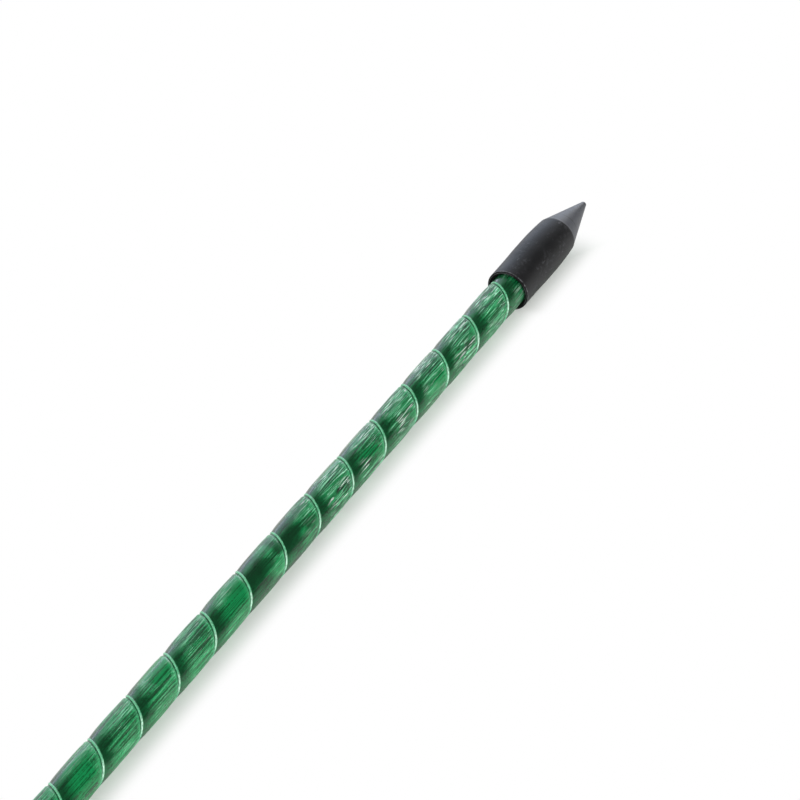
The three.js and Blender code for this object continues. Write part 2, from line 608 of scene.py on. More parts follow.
@dataclass(frozen=True)
class ResinFinish:
    """Green glass fibre and resin: streaked and satin on the lands, dark and glossy by the thread, with
    painted light and shade over them.
    """

    mouth: float
    deep: Colour = (0.001, 0.062, 0.017)
    plain: Colour = (0.004, 0.205, 0.058)
    # The pale streaks, and also a painted highlight on the end of each land
    pale: Colour = (0.060, 0.440, 0.180)
    bright: Colour = (0.380, 0.800, 0.550)
    # Near white, a painted glint on the dashes and on the ridges' crests
    glint: Colour = (0.920, 1.000, 0.950)
    # Dark hair lines and a seam, and painted shade in ridge hollows, beside glints and in the crease
    dark_lines_and_shade: Colour = (0.0005, 0.008, 0.003)
    # Dark resin, and painted shade after the thread and before the point's mouth
    pool: Colour = (0.001, 0.027, 0.008)

    fibre: Grain = Grain(16.0 * MM, 0.24 * MM, 1.0)
    strand: Grain = Grain(7.0 * MM, 0.38 * MM)
    hair: Grain = Grain(8.0 * MM, 0.40 * MM)
    dash: Grain = Grain(4.5 * MM, 0.15 * MM)
    ridge: Grain = Grain(3.0 * MM, 0.26 * MM)
    grain: Grain = Grain(0.30 * MM, 0.30 * MM)
    band: Grain = Grain(16.0 * MM, 1.3 * MM, 2.0)
    cluster: Grain = Grain(6.0 * MM, 3.0 * MM, 1.0)
    patch: Grain = Grain(16.0 * MM, 8.0 * MM, 1.0)

    # Stretches of the rod, as distances before the point's mouth
    scuffed_between: Span = (120.0 * MM, 88.0 * MM)
    unscuffed_share: float = 0.35
    dark_middle: float = 106.0 * MM
    dark_between: Span = (20.0 * MM, 8.0 * MM)
    dark_reach: float = 3.0 * MM
    dark_clusters: Span = (0.40, 0.60)
    dark_share: float = 0.70
    dark_calm: float = 0.6
    # A painted shadow on the rod just before the point's mouth
    shade_between: Span = (5.0 * MM, 0.5 * MM)
    shade_share: float = 0.45

    # Strips along the rod, as angles about its axis: painted glints, ridges with painted sheen and
    # shade, the sides painted lighter, and a seam
    # Painted glints, on the side where light catches the fibres
    glint_side: float = math.radians(146)
    glint_fade: Span = (0.50, 0.90)
    glint_clusters: Span = (0.40, 0.50)
    # Ridges with painted sheen and shade, where light grazes the fibres
    ridge_side: float = math.radians(60)
    ridge_fade: Span = (0.2, 0.7)
    ridge_patches: Span = (0.25, 0.42)
    lesser_ridge_side: float = math.radians(192)
    lesser_ridge_fade: Span = (0.5, 0.9)
    lesser_ridges: float = 0.4
    # The sides painted lighter, as painted light
    lit_side: float = math.radians(175)
    lit_fade: Span = (0.6, 0.95)
    lesser_lit_side: float = math.radians(82)
    lesser_lit_fade: Span = (0.85, 0.98)
    seam_side: float = math.radians(183)
    seam_half: float = math.radians(4.5)
    seam_bands: Span = (0.42, 0.52)
    seam_share: float = 0.6
    seam_lost_in_pool: float = 0.5

    # Dark glossy resin after a turn of the thread, partly painted shade; painted shade in the crease
    # before the next turn; and a painted highlight on the end of the land before it
    pool_between: Span = (-0.1 * MM, 0.85 * MM)
    pool_ends: Span = (6.2 * MM, 1.6 * MM)
    pool_waver: float = 5.0 * MM
    pool_share: float = 0.98
    pool_lost_to_light: float = 0.3
    pool_lost_to_grain: float = 0.2
    crease: float = 0.50 * MM
    crease_shade_share: float = 0.75
    edge_band: float = 2.2 * MM
    edge_highlight_share: float = 0.3

    # The lands' tone, as the shares of what adds to it, and the tones at which a colour comes in
    fibre_tone: float = 0.68
    band_tone: float = 0.12
    grain_tone: float = 0.20
    lit_tone: float = 0.035
    edge_highlight_tone: float = 0.05
    plain_from: Span = (0.43, 0.51)
    pale_from: Span = (0.52, 0.62)
    pale_share: float = 0.5

    # Noise values between which hollows, crests and lines show
    streaked_patches: Span = (0.36, 0.50)
    ridge_hollows: Span = (0.46, 0.37)
    ridge_shade_share: float = 0.7
    ridge_crests: Span = (0.60, 0.67)
    ridge_glint_share: float = 0.5
    hair_fade: Span = (0.070, 0.024)
    hair_bands: Span = (0.60, 0.48)
    strand_fade: Span = (0.050, 0.014)
    strand_fibres: Span = (0.45, 0.51)
    strand_lost_to_glints: float = 0.7
    dash_hollows: Span = (0.43, 0.35)
    dash_crests: Span = (0.62, 0.68)
    dash_glint_share: float = 0.75

    land_roughness: float = 0.43
    pool_roughness: float = 0.22
    fibre_roughness: float = 0.2
    fibre_depth: float = 0.30 * MM
    fibre_relief: float = 0.7
    grain_relief: float = 0.3
    ridge_relief: float = 0.3
    least_relief: float = 0.1
    gloss: float = 0.38

    def noises(self, sheet: ShaderSheet, place: Signal) -> ResinNoises:
        """Reads the noises at a place on the rod.

        Args:
            sheet: The sheet of the material.
            place: The place on the rod.

        Returns:
            The noises.
        """
        return ResinNoises(
            fibre=sheet.streaks(place, self.fibre),
            strand=sheet.hairlines(place, self.strand, self.strand_fade),
            hair=sheet.hairlines(place, self.hair, self.hair_fade),
            dash=sheet.streaks(place, self.dash),
            ridge=sheet.streaks(place, self.ridge),
            grain=sheet.streaks(place, self.grain),
            band=sheet.streaks(place, self.band),
            cluster=sheet.streaks(place, self.cluster),
            patch=sheet.streaks(place, self.patch),
        )

    def lit_strip(self, angle: Signal) -> Signal:
        """The strips along the rod that are painted lighter, low on the front and along the top, as
        painted light falling on those sides.
        """
        lesser = twin_strip(angle, self.lesser_lit_side, self.lesser_lit_fade)
        return twin_strip(angle, self.lit_side, self.lit_fade).at_least(lesser)

    def ridge_strip(self, angle: Signal) -> Signal:
        """The side strips where ridges of fibre are drawn, in bumps and in painted sheen and shade,
        along the upper side where light grazes them and weaker low on the front.
        """
        lesser = twin_strip(angle, self.lesser_ridge_side, self.lesser_ridge_fade) * self.lesser_ridges
        return twin_strip(angle, self.ridge_side, self.ridge_fade).at_least(lesser)

    def zones(
        self, sheet: ShaderSheet, axis: WoundAxis, place: Signal, noises: ResinNoises
    ) -> ResinZones:
        """Finds where the effects show.

        Args:
            sheet: The sheet of the material.
            axis: The helix that the resin gathers along.
            place: The place on the rod.
            noises: The noises at that place.

        Returns:
            The zones.
        """
        x, angle, past = axis.surface(sheet, place)
        before = self.mouth - x
        worn = before.rise(*self.scuffed_between)
        scuffed = self.unscuffed_share + (1 - self.unscuffed_share) * worn
        dark = (before - self.dark_middle).absolute().rise(*self.dark_between)
        pool_edge = past + (noises.band - MIDDLE) * self.pool_waver - dark * self.dark_reach
        pool = past.rise(*self.pool_between) * pool_edge.rise(*self.pool_ends)
        clear = (1 - pool) * (1 - dark * self.dark_calm)
        ridges = self.ridge_strip(angle) * clear * noises.patch.rise(*self.ridge_patches)
        glint_strip = twin_strip(angle, self.glint_side, self.glint_fade)
        dark_patches = dark * noises.cluster.rise(*self.dark_clusters) * self.dark_share
        mouth_shade = before.rise(*self.shade_between) * self.shade_share
        return ResinZones(
            scuffed=scuffed,
            streaked=clear * noises.patch.rise(*self.streaked_patches),
            ridged=ridges * scuffed,
            glinting=glint_strip * noises.cluster.rise(*self.glint_clusters),
            pale=self.lit_strip(angle),
            seam=(angle - self.seam_side).cosine().rise(math.cos(self.seam_half), 1.0),
            dark_patch_and_shade=dark_patches.at_least(mouth_shade),
            lit_land_edge=past.rise(axis.pitch - self.edge_band, axis.pitch - self.edge_band / 3),
            pool=pool,
            crease=past.rise(axis.pitch - self.crease, axis.pitch - self.crease / 2),
        )

    def land_layers(self, noises: ResinNoises, zones: ResinZones) -> list[Layer]:
        """The fibres of the lands: plain and pale streaks over deep resin, lighter on the painted lit
        sides, and a painted highlight on the end of each land.

        Args:
            noises: The noises at a place on the rod.
            zones: The zones at that place.

        Returns:
            The layers, from the lowest up.
        """
        tone = noises.fibre * self.fibre_tone + noises.band * self.band_tone
        tone = tone + noises.grain * self.grain_tone
        # The sides painted lighter, as painted light
        tone = tone + zones.pale * self.lit_tone + zones.lit_land_edge * self.edge_highlight_tone
        return [
            (tone.rise(*self.plain_from), self.plain),
            (tone.rise(*self.pale_from) * zones.streaked * self.pale_share, self.pale),
            # A painted highlight on the end of the land
            (zones.lit_land_edge * self.edge_highlight_share, self.pale),
        ]

    def line_layers(self, noises: ResinNoises, zones: ResinZones) -> list[Layer]:
        """The lines on the lands: ridges with a painted sheen on their crests and painted shade in their
        hollows, dark hairs, bright strands and a seam, and then dark patches and a painted shadow before
        the point's mouth.

        Args:
            noises: The noises at a place on the rod.
            zones: The zones at that place.

        Returns:
            The layers, from the lowest up.
        """
        hollows = noises.ridge.rise(*self.ridge_hollows) * zones.ridged
        crests = noises.ridge.rise(*self.ridge_crests) * zones.ridged
        hairs = noises.hair * noises.band.rise(*self.hair_bands)
        strands = noises.strand * noises.fibre.rise(*self.strand_fibres)
        strands = strands * zones.streaked * zones.scuffed
        seam = zones.seam * noises.band.rise(*self.seam_bands)
        return [
            # Painted shade in the ridges' hollows and a painted sheen on their crests
            (hollows * self.ridge_shade_share, self.dark_lines_and_shade),
            (crests * self.ridge_glint_share, self.glint),
            (hairs * zones.streaked * zones.scuffed, self.dark_lines_and_shade),
            (strands * (1 - self.strand_lost_to_glints * zones.glinting), self.bright),
            (seam * (1 - self.seam_lost_in_pool * zones.pool) * self.seam_share, self.dark_lines_and_shade),
            # Dark resin patches and a painted shadow before the point's mouth
            (zones.dark_patch_and_shade, self.pool),
        ]

    def glint_layers(self, noises: ResinNoises, zones: ResinZones) -> list[Layer]:
        """Short painted glints, each with a painted dark edge, on the side where the light catches the
        fibres.

        Args:
            noises: The noises at a place on the rod.
            zones: The zones at that place.

        Returns:
            The layers, from the lowest up.
        """
        glinted = zones.glinting * zones.streaked * zones.scuffed * zones.scuffed
        glinted = glinted * (1 - zones.dark_patch_and_shade) * (1 - zones.lit_land_edge)
        return [
            # Painted dark edges and painted glints of the dashes
            (noises.dash.rise(*self.dash_hollows) * glinted, self.dark_lines_and_shade),
            (noises.dash.rise(*self.dash_crests) * glinted * self.dash_glint_share, self.glint),
        ]

    def thread_layers(self, noises: ResinNoises, zones: ResinZones) -> list[Layer]:
        """Dark resin, partly painted shade, on one side of the thread, and painted shade in the crease
        on the other.

        Args:
            noises: The noises at a place on the rod.
            zones: The zones at that place.

        Returns:
            The layers, from the lowest up.
        """
        thin = self.pool_lost_to_light * zones.pale
        filled = self.pool_share - thin - self.pool_lost_to_grain * noises.grain
        return [
            # Dark resin after the thread, partly painted shade, thinner on the sides painted lighter
            (zones.pool * filled, self.pool),
            # Painted shade in the crease before the thread
            (zones.crease * self.crease_shade_share, self.dark_lines_and_shade),
        ]

    def roughness(self, noises: ResinNoises, zones: ResinZones) -> Signal:
        """Satin on streaked lands and glossy elsewhere.

        Args:
            noises: The noises at a place on the rod.
            zones: The zones at that place.

        Returns:
            The roughness.
        """
        drop = self.land_roughness - self.pool_roughness
        rough = self.land_roughness - (1 - zones.streaked) * drop
        return rough + (noises.fibre - MIDDLE) * self.fibre_roughness * zones.streaked

    def relief(self, noises: ResinNoises, zones: ResinZones) -> Signal:
        """The height of the fibres, mostly under the resin where the rod isn't streaked.

        Args:
            noises: The noises at a place on the rod.
            zones: The zones at that place.

        Returns:
            The height, from 0 to about 1.
        """
        fibres = noises.fibre * self.fibre_relief + noises.grain * self.grain_relief
        bare = self.least_relief + zones.streaked * (1 - self.least_relief)
        return fibres * bare + noises.ridge * zones.ridged * self.ridge_relief

    def material(self, axis: WoundAxis) -> bpy.types.Material:
        """Makes the material.

        Args:
            axis: The helix that the resin gathers along.

        Returns:
            The material.
        """
        material, sheet = new_material("wound_resin")
        place = sheet.place()
        noises = self.noises(sheet, place)
        zones = self.zones(sheet, axis, place, noises)
        layers = [
            *self.land_layers(noises, zones),
            *self.line_layers(noises, zones),
            *self.glint_layers(noises, zones),
            *self.thread_layers(noises, zones),
        ]
        normal = sheet.bumped(self.relief(noises, zones), self.fibre_depth)
        colour = sheet.layered(self.deep, layers)
        sheet.plastic(colour, self.roughness(noises, zones), normal, self.gloss)
        return material


@dataclass(frozen=True)
class ThreadFinish:
    """Pale green thread under a thin coat of resin, with a painted highlight along its lower front side.
    """

    plain: Colour = (0.072, 0.340, 0.160)
    pale: Colour = (0.136, 0.470, 0.265)
    # Near white, a painted highlight along the thread
    painted_highlight: Colour = (0.560, 0.800, 0.660)
    grain: Grain = Grain(0.5 * MM, 0.5 * MM, 2.0)
    grain_depth: float = 0.03 * MM
    pale_grains: Span = (0.3, 0.7)
    highlight_side: float = math.radians(159)
    highlight_fade: Span = (0.45, 1.0)
    highlight_grains: Span = (0.2, 0.6)
    highlight_share: float = 0.7
    roughness: float = 0.16
    grain_roughness: float = 0.2
    gloss: float = 0.5

    def material(self, axis: WoundAxis) -> bpy.types.Material:
        """Makes the material.

        Args:
            axis: The helix that the thread follows.

        Returns:
            The material.
        """
        material, sheet = new_material("wound_thread")
        place = sheet.place()
        _, angle, _ = axis.surface(sheet, place)
        grain = sheet.streaks(place, self.grain)
        # A painted highlight along one side of the thread
        painted_highlight = twin_strip(angle, self.highlight_side, self.highlight_fade)
        painted_highlight = painted_highlight * grain.rise(*self.highlight_grains) * self.highlight_share
        layers = [(grain.rise(*self.pale_grains), self.pale), (painted_highlight, self.painted_highlight)]
        colour = sheet.layered(self.plain, layers)
        roughness = self.roughness + grain * self.grain_roughness
        sheet.plastic(colour, roughness, sheet.bumped(grain, self.grain_depth), self.gloss)
        return material


@dataclass(frozen=True)
class MouldedZones:
    """Where on a cap its effects show, each from 0 to 1."""

    nose: Signal
    ring: Signal
    # A painted dark reflection at the nose's tip
    tip: Signal
    scuffed: Signal
    scratched: Signal
    # Painted shade on the mouth's face and in the socket
    cut: Signal
    # Painted highlights on the mouth's rim and at the bore's edge
    worn: Signal


@dataclass(frozen=True)
class MouldedFinish:
    """Black moulded plastic: matt on the sleeve, smoother and greyer past the mould line."""

    cap: "PushOnCap"
    sleeve: Colour = (0.0045, 0.0045, 0.0052)
    smooth: Colour = (0.050, 0.053, 0.063)
    # A painted dark reflection at the nose's tip
    tip: Colour = (0.010, 0.010, 0.018)
    scuff: Colour = (0.080, 0.082, 0.090)
    # A painted highlight on the mouth's rim and at the bore's edge
    edge: Colour = (0.150, 0.152, 0.160)
    # Near black, painted shade on the mouth's face and in the socket
    cut: Colour = (0.0008, 0.0008, 0.0009)

    grain: Grain = Grain(0.22 * MM, 0.22 * MM, 3.0)
    cloud: Grain = Grain(5.0 * MM, 5.0 * MM, 3.0)
    mark: Grain = Grain(0.9 * MM, 0.7 * MM, 3.0)
    scratch: Grain = Grain(3.0 * MM, 2.2 * MM)
    grain_depth: float = 0.03 * MM

    # The nose, as distances past the mould line
    line_waver: float = 0.3 * MM
    line_half: float = 0.1 * MM
    ring_past_line: float = 3.5 * MM
    ring_width: float = 0.32 * MM
    ring_clouds: Span = (0.35, 0.55)
    ring_share: float = 0.5
    # A painted dark reflection at the nose's tip
    tip_past_line: float = 13.0 * MM
    tip_blend: float = 1.6 * MM
    tip_reflection_share: float = 0.8

    # Scuffs and scratches, as the noise values between which they show
    scuff_marks: Span = (0.46, 0.74)
    scuff_clouds: Span = (0.44, 0.60)
    scuff_share: float = 0.3
    scuff_lost_on_nose: float = 0.7
    scratch_fade: Span = (0.016, 0.006)
    scratch_clouds: Span = (0.50, 0.62)
    scratch_marks: Span = (0.45, 0.60)
    scratch_share: float = 0.8

    # The mouth, as distances past its face and from the axis: painted shade on its face and in the
    # socket, and painted highlights on its rim and at the bore's edge
    face_depth: float = 0.24 * MM
    rim_highlight_depth: float = 0.62 * MM
    rim_highlight_marks: Span = (0.35, 0.55)
    rim_highlight_share: float = 0.8
    bore_edge: float = 4.86 * MM
    bore_edge_width: float = 0.11 * MM
    bore_highlight_clouds: Span = (0.36, 0.48)
    bore_highlight_share: float = 0.7
    socket_fade: float = 0.6 * MM

    sleeve_roughness: float = 0.50
    smooth_roughness: float = 0.42
    mouth_roughness: float = 1.0
    cloud_roughness: float = 0.16
    scuff_roughness: float = 0.1
    grain_lost_on_nose: float = 0.8
    gloss: float = 0.32

    def ring_at(self, along: Signal) -> Signal:
        """A fine ring round the nose.

        Args:
            along: The distance along the cap.

        Returns:
            The ring, from 0 to 1.
        """
        middle = self.cap.mould_line + self.ring_past_line
        before = along.rise(middle - self.ring_width, middle)
        return before * along.rise(middle + self.ring_width, middle)

    def shaded_mouth_at(self, along: Signal, radius: Signal) -> tuple[Signal, Signal]:
        """Finds the mouth's face and the socket, which are painted as shade.

        Args:
            along: The distance along the cap.
            radius: The distance from the axis.

        Returns:
            The mouth's face, and the face and the socket together.
        """
        face = along.rise(self.face_depth, self.face_depth / 2)
        depth = self.cap.socket_depth
        socket = radius.rise(self.bore_edge, self.bore_edge - self.bore_edge_width)
        return face, face.at_least(socket * along.rise(depth + self.socket_fade, depth))

    def zones(self, sheet: ShaderSheet, place: Signal, cloud: Signal, mark: Signal) -> MouldedZones:
        """Finds where the effects show.

        Args:
            sheet: The sheet of the material.
            place: The place on the cap.
            cloud: The wide noise at that place.
            mark: The fine noise at that place.

        Returns:
            The zones.
        """
        x, y, z = sheet.parts(place)
        along = (x - self.cap.mouth) * self.cap.towards
        up = z - self.cap.axis.height
        radius = (y * y + up * up).root()
        wavering = along + (cloud - MIDDLE) * self.line_waver
        line = self.cap.mould_line
        nose = wavering.rise(line - self.line_half, line + self.line_half)
        tip_start = line + self.tip_past_line
        scuffs = mark.rise(*self.scuff_marks) * cloud.rise(*self.scuff_clouds)
        scratches = sheet.hairlines(place, self.scratch, self.scratch_fade)
        scratches = scratches * cloud.rise(*self.scratch_clouds) * mark.rise(*self.scratch_marks)
        face, cut = self.shaded_mouth_at(along, radius)
        # Painted highlights: a band round the rim and a ring at the bore's edge
        rim = along.rise(self.rim_highlight_depth, self.face_depth) * (1 - cut) * mark.rise(*self.rim_highlight_marks)
        bore_highlight = (radius - self.bore_edge).absolute().rise(self.bore_edge_width, 0.0)
        bore_highlight = bore_highlight * face * cloud.rise(*self.bore_highlight_clouds)
        return MouldedZones(
            nose=nose,
            ring=self.ring_at(along) * cloud.rise(*self.ring_clouds),
            tip=wavering.rise(tip_start, tip_start + self.tip_blend),
            scuffed=scuffs * (1 - self.scuff_lost_on_nose * nose),
            scratched=scratches,
            cut=cut,
            worn=rim.at_least(bore_highlight * self.bore_highlight_share),
        )

    def layers(self, zones: MouldedZones) -> list[Layer]:
        """The colours over the sleeve's own.

        Args:
            zones: The zones at a place on the cap.

        Returns:
            The layers, from the lowest up.
        """
        scuffs = zones.scuffed * self.scuff_share
        return [
            (zones.nose, self.smooth),
            (scuffs.at_least(zones.scratched * self.scratch_share), self.scuff),
            # A painted dark reflection at the nose's tip
            (zones.tip * self.tip_reflection_share, self.tip),
            (zones.ring * self.ring_share, self.sleeve),
            # Painted shade on the mouth's face and in the socket
            (zones.cut, self.cut),
            # Painted highlights on the mouth's rim and at the bore's edge
            (zones.worn * self.rim_highlight_share, self.edge),
        ]

    def roughness(self, zones: MouldedZones, cloud: Signal) -> Signal:
        """Matt on the sleeve, smoother on the nose and dull on the mouth's face and in the socket.

        Args:
            zones: The zones at a place on the cap.
            cloud: The wide noise at that place.

        Returns:
            The roughness.
        """
        rough = self.sleeve_roughness + zones.nose * (self.smooth_roughness - self.sleeve_roughness)
        rough = rough + (cloud - MIDDLE) * self.cloud_roughness + zones.scuffed * self.scuff_roughness
        return rough.at_least(zones.cut * self.mouth_roughness)

    def material(self) -> bpy.types.Material:
        """Makes the material.

        Returns:
            The material.
        """
        material, sheet = new_material(self.cap.SLOT.value)
        place = sheet.place()
        cloud = sheet.streaks(place, self.cloud)
        mark = sheet.streaks(place, self.mark)
        zones = self.zones(sheet, place, cloud, mark)
        grain = sheet.streaks(place, self.grain) * (1 - self.grain_lost_on_nose * zones.nose)
        colour = sheet.layered(self.sleeve, self.layers(zones))
        normal = sheet.bumped(grain, self.grain_depth)
        sheet.plastic(colour, self.roughness(zones, cloud), normal, self.gloss)
        return material


@dataclass
class WoundRod:
    """The rod: barrel-shaped lands between the turns, pinched and grooved where the thread lies.

    Where it is bare, between the caps, its fibres stand up. Inside them it keeps to their sockets.
    """

    axis: WoundAxis
    start: float
    end: float
    bare: Span
    radius: float = 4.13 * MM
    radius_in_caps: float = 4.16 * MM
    pinch: float = 0.25 * MM
    fullness: float = 4.0
    groove_depth: float = 0.20 * MM
    groove_width: float = 0.36 * MM
    groove_offset: float = -0.20 * MM
    lip_height: float = 0.06 * MM
    lip_width: float = 0.40 * MM
    lip_offset: float = -0.95 * MM
    relief_start: float = 0.6 * MM
    relief_blend: float = 3.4 * MM
    steps_per_turn: int = 128
    spare_turns: int = 2

    # The outline's points, in millimetres past the thread, closest together where it bends most
    STATIONS = (-1.6, -1.2, -0.9, -0.6, -0.35, 0.0, 0.42, 0.8, 1.4, 2.2, 3.3, 5.0, 7.2, 9.4, 11.4)
    RELIEFS = (
        FibreRelief(seed=11, bundles=26, length=11 * MM, height=0.11 * MM),
        FibreRelief(seed=12, bundles=57, length=6 * MM, height=0.03 * MM),
    )

    def outline(self) -> tuple[np.ndarray, np.ndarray]:
        """The outline over one pitch.

        Returns:
            Places past the thread, and radii.
        """
        past = np.array(self.STATIONS) * MM
        share = (past % self.axis.pitch) / self.axis.pitch
        barrel = self.pinch * np.abs(2 * share - 1) ** self.fullness
        groove = self.groove_depth * np.exp(-(((past - self.groove_offset) / self.groove_width) ** 2))
        lip = self.lip_height * np.exp(-(((past - self.lip_offset) / self.lip_width) ** 2))
        return past, self.radius - barrel - groove + lip

    def points(self, turns: np.ndarray) -> np.ndarray:
        """The rod's points.

        Args:
            turns: The turns of the helix at which the outline stands.

        Returns:
            Points by turn and by place in the outline.
        """
        past, radius = self.outline()
        angle = np.repeat(self.axis.angle_at(turns)[:, None], len(past), axis=1)
        x = self.axis.mark_x + turns[:, None] * self.axis.pitch + past[None, :]
        raised = np.clip((past - self.relief_start) / self.relief_blend, 0, 1)
        relief = sum(field.at(x, angle) for field in self.RELIEFS) * raised[None, :]
        full = radius[None, :] + relief
        bare_start, bare_end = self.bare
        in_caps = (x < bare_start) | (x > bare_end)
        fitted = np.where(in_caps, np.minimum(full, self.radius_in_caps), full)
        return self.axis.place(x, angle, fitted)

    def faces(self, steps: int, stations: int) -> np.ndarray:
        """The rod's faces, in each outline and onward from its last point to the next turn's first.

        Args:
            steps: How many steps the helix has.
            stations: How many points the outline has.

        Returns:
            The faces, as rows of point numbers.
        """
        per_turn = self.steps_per_turn
        number = np.arange((steps + 1) * stations).reshape(steps + 1, stations)
        within = [number[:-1, :-1], number[:-1, 1:], number[1:, 1:], number[1:, :-1]]
        onward = [
            number[: steps - per_turn, -1],
            number[per_turn:steps, 0],
            number[per_turn + 1 :, 0],
            number[1 : steps - per_turn + 1, -1],
        ]
        lands = np.stack(within, axis=-1).reshape(-1, len(within))
        return np.concatenate([lands, np.stack(onward, axis=-1)])

    def build(self, material: bpy.types.Material) -> bpy.types.Object:
        """Builds the rod and saws it to length.

        Args:
            material: Its finish.

        Returns:
            The rod, riding on the stake.
        """
        first = math.floor((self.start - self.axis.mark_x) / self.axis.pitch) - self.spare_turns
        last = math.ceil((self.end - self.axis.mark_x) / self.axis.pitch) + self.spare_turns
        steps = (last - first) * self.steps_per_turn
        points = self.points(first + np.arange(steps + 1) / self.steps_per_turn)
        faces = self.faces(steps, len(self.STATIONS))
        rod = mesh_object("wound_rod", points, faces, material)
        self.saw(rod)
        return fit_to_frame(rod, Body.STAKE, "rod")

    def saw(self, rod: bpy.types.Object) -> None:
        """Cuts the rod to length and closes its two ends with flat faces.

        Args:
            rod: The rod, which is too long.
        """
        shape = bmesh.new()
        shape.from_mesh(rod.data)
        for x, outward in ((self.start, -1.0), (self.end, 1.0)):
            everything = [*shape.verts, *shape.edges, *shape.faces]
            cut = bmesh.ops.bisect_plane(
                shape,
                geom=everything,
                plane_co=(x, 0, 0),
                plane_no=(outward, 0, 0),
                clear_outer=True,
            )
            rim = [edge for edge in cut["geom_cut"] if isinstance(edge, bmesh.types.BMEdge)]
            closed = bmesh.ops.edgenet_fill(shape, edges=rim)
            for sharp in (*closed["faces"], *rim):
                sharp.smooth = False
        bmesh.ops.recalc_face_normals(shape, faces=shape.faces)
        shape.to_mesh(rod.data)
        shape.free()


@dataclass
class WindingThread:
    """The thread: one unbroken tube along the helix, a little uneven as a pulled thread is."""

    axis: WoundAxis
    start: float
    end: float
    crest: float = 4.03 * MM
    width: float = 0.54 * MM
    thickness: float = 0.46 * MM
    past_mark: float = 0.14 * MM
    sway: float = 0.12 * MM
    sway_side: float = math.radians(66)
    wander: float = 0.05 * MM
    wanders_per_turn: float = 3.0
    swelling: float = 0.09
    swellings_per_turn: float = 5.0
    steps_per_turn: int = 64
    sides: int = 8
    seed: int = 21

    def drift(self, count: int, size: float, knots_per_turn: float, seed: int) -> np.ndarray:
        """A smooth seeded wander along the thread.

        Args:
            count: How many rings the thread has.
            size: The greatest wander.
            knots_per_turn: How often it changes.
            seed: The seed of its draw.

        Returns:
            The wander at each ring.
        """
        turns = np.arange(count) / self.steps_per_turn
        knots = np.random.default_rng(seed).uniform(-size, size, int(turns[-1] * knots_per_turn) + 2)
        return np.interp(turns * knots_per_turn, np.arange(len(knots)), knots)

    def turns(self) -> np.ndarray:
        """Spaces the thread's rings along the helix.

        Returns:
            The turns of the helix at which they stand.
        """
        inset = self.width
        length_in_turns = (self.end - self.start - 2 * inset) / self.axis.pitch
        count = int(length_in_turns * self.steps_per_turn)
        first = (self.start + inset - self.axis.mark_x) / self.axis.pitch
        return first + length_in_turns * np.arange(count + 1) / count

    def points(self, turns: np.ndarray) -> np.ndarray:
        """The thread's points.

        Args:
            turns: The turns of the helix at which its rings stand.

        Returns:
            Points by ring and by place round the thread.
        """
        middle = self.crest - self.thickness / 2
        lead = math.atan(self.axis.pitch / (TURN * middle))
        shift = self.drift(len(turns), self.wander, self.wanders_per_turn, self.seed)
        swell = 1 + self.drift(len(turns), self.swelling, self.swellings_per_turn, self.seed + 1)
        around = TURN * np.arange(self.sides) / self.sides
        sideways = np.outer(swell, np.cos(around)) * self.width / 2
        outward = np.outer(swell, np.sin(around)) * self.thickness / 2
        shift = shift + self.sway * np.cos(self.axis.angle_at(turns) - self.sway_side)
        x = self.axis.mark_x + self.past_mark + turns * self.axis.pitch + shift
        x = x[:, None] + sideways * math.cos(lead)
        angle = self.axis.angle_at(turns)[:, None] + sideways * math.sin(lead) / middle
        return self.axis.place(x, angle, middle + outward)

    def build(self, material: bpy.types.Material) -> bpy.types.Object:
        """Builds the thread.

        Args:
            material: Its finish.

        Returns:
            The thread, riding on the stake.
        """
        points = self.points(self.turns())
        number = np.arange(len(points) * self.sides).reshape(-1, self.sides)
        faces = [*ring_walls(number), number[0][::-1].tolist(), number[-1].tolist()]
        thread = mesh_object("wound_thread", points, faces, material)
        return fit_to_frame(thread, Body.STAKE, "winding_thread")


